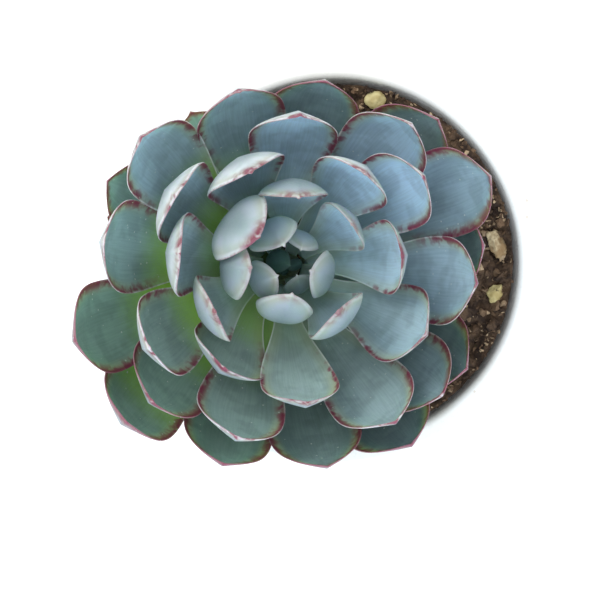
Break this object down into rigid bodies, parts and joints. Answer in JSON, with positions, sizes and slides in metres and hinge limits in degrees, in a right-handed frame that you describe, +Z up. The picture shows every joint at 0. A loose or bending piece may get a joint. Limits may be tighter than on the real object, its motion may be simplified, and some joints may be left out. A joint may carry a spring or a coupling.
{
  "type": "potted rosette succulent",
  "caption": "Rosette succulent with thick cupped blue-green leaves edged in crimson, leaning in a plain round white tapered pot of dark potting mix.",
  "frame": {"origin": "centre of the pot's flat base, on the surface that it stands on", "axes": "+Z up along the pot's axis; the plant's rosette sits off-centre towards -X and faces up; +X is the side where the potting mix shows most"},
  "size_m": [0.0996, 0.0904, 0.1291],
  "materials": {
    "leaf": "waxy blue-green leaf with a pale bloom, pale rim and crimson edge",
    "stem": "short corky stem, hidden among the leaf feet",
    "potting_mix": "dark moist peat and bark crumbs with paler fibres",
    "pot_glaze": "plain white satin glaze",
    "pebble": "pale yellow rounded grit",
    "bark": "pale dry wood chip"
  },
  "bodies": {
    "root": {"leaf_01": "leaf", "leaf_02": "leaf", "leaf_03": "leaf", "leaf_04": "leaf", "leaf_05": "leaf", "leaf_06": "leaf", "leaf_07": "leaf", "leaf_08": "leaf", "leaf_09": "leaf", "leaf_10": "leaf", "leaf_11": "leaf", "leaf_12": "leaf", "leaf_13": "leaf", "leaf_14": "leaf", "leaf_15": "leaf", "leaf_16": "leaf", "leaf_17": "leaf", "leaf_18": "leaf", "leaf_19": "leaf", "leaf_20": "leaf", "leaf_21": "leaf", "leaf_22": "leaf", "leaf_23": "leaf", "leaf_24": "leaf", "leaf_25": "leaf", "leaf_26": "leaf", "leaf_27": "leaf", "leaf_28": "leaf", "leaf_29": "leaf", "leaf_30": "leaf", "leaf_31": "leaf", "leaf_32": "leaf", "leaf_33": "leaf", "leaf_34": "leaf", "leaf_35": "leaf", "leaf_36": "leaf", "leaf_37": "leaf", "leaf_38": "leaf", "leaf_39": "leaf", "leaf_40": "leaf", "leaf_41": "leaf", "leaf_42": "leaf", "leaf_43": "leaf", "leaf_44": "leaf", "leaf_45": "leaf", "leaf_46": "leaf", "leaf_47": "leaf", "leaf_48": "leaf", "leaf_49": "leaf", "leaf_50": "leaf", "stem": "stem", "potting_mix": "potting_mix", "pot": "pot_glaze", "pale_pebble": "pebble", "bark_chip": "bark", "yellow_chip": "pebble"}
  },
  "joints": []
}
